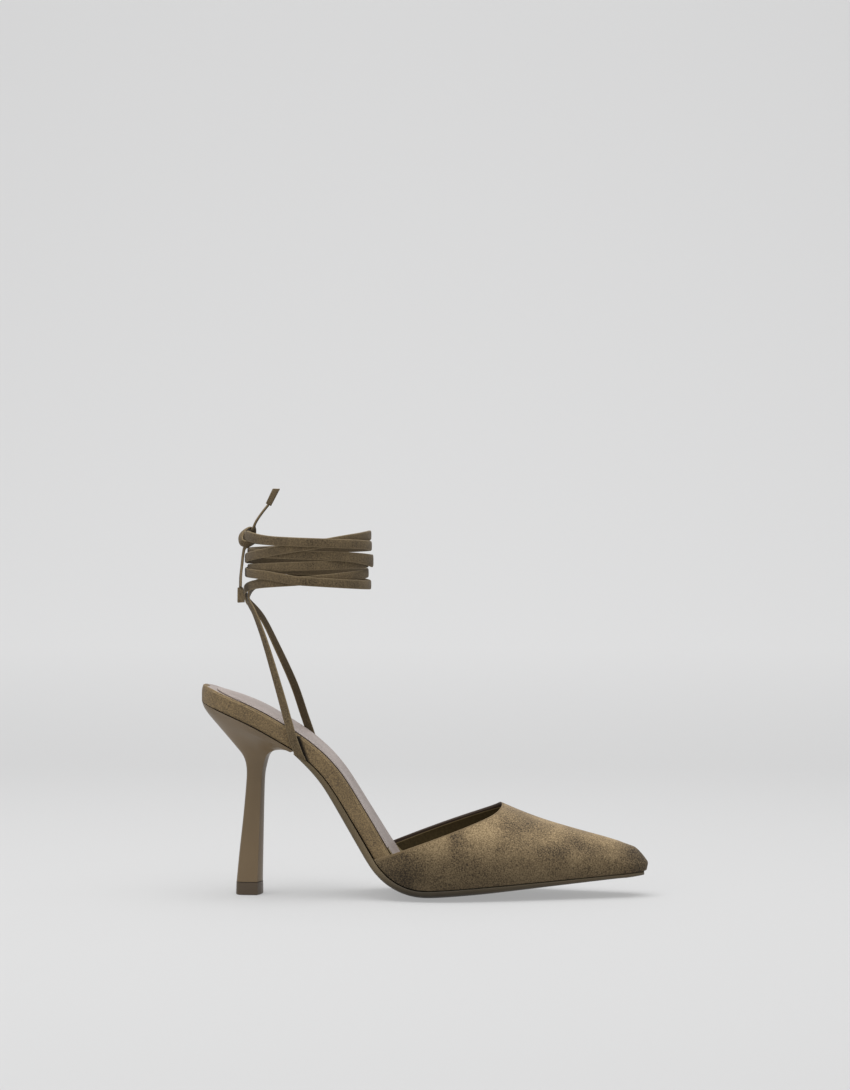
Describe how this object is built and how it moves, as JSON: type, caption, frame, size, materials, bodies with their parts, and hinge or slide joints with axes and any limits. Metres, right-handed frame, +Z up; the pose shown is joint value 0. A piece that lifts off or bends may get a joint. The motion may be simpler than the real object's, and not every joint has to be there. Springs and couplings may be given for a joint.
{
  "type": "slingback shoe with ankle ties",
  "caption": "Right pump with an open back and waist, a pointed closed toe, a slim high heel and flat leather ties that wind round the ankle and knot behind it.",
  "frame": {"origin": "on the floor, midway along the shoe's length and width", "axes": "+X from heel to toe, +Y to the inner (medial) side, +Z up"},
  "size_m": [0.2226, 0.073, 0.2033],
  "materials": {
    "outsole": "satin",
    "heel": "satin",
    "top_piece": "matt",
    "wrapped_footbed": "mottled nubuck",
    "sock": "smooth",
    "nubuck_upper": "mottled nubuck",
    "nubuck_ties": "mottled nubuck",
    "tie_tips": "pressed nubuck"
  },
  "bodies": {
    "root": {"outsole": "outsole", "heel": "heel", "heel_top_piece": "top_piece", "footbed": "wrapped_footbed", "insole_sock": "sock", "upper": "nubuck_upper", "ankle_ties": "nubuck_ties", "tie_knot": "nubuck_ties", "tie_end_rising": "nubuck_ties", "tie_end_hanging": "nubuck_ties", "tie_tip_rising": "tie_tips", "tie_tip_hanging": "tie_tips"}
  },
  "joints": []
}
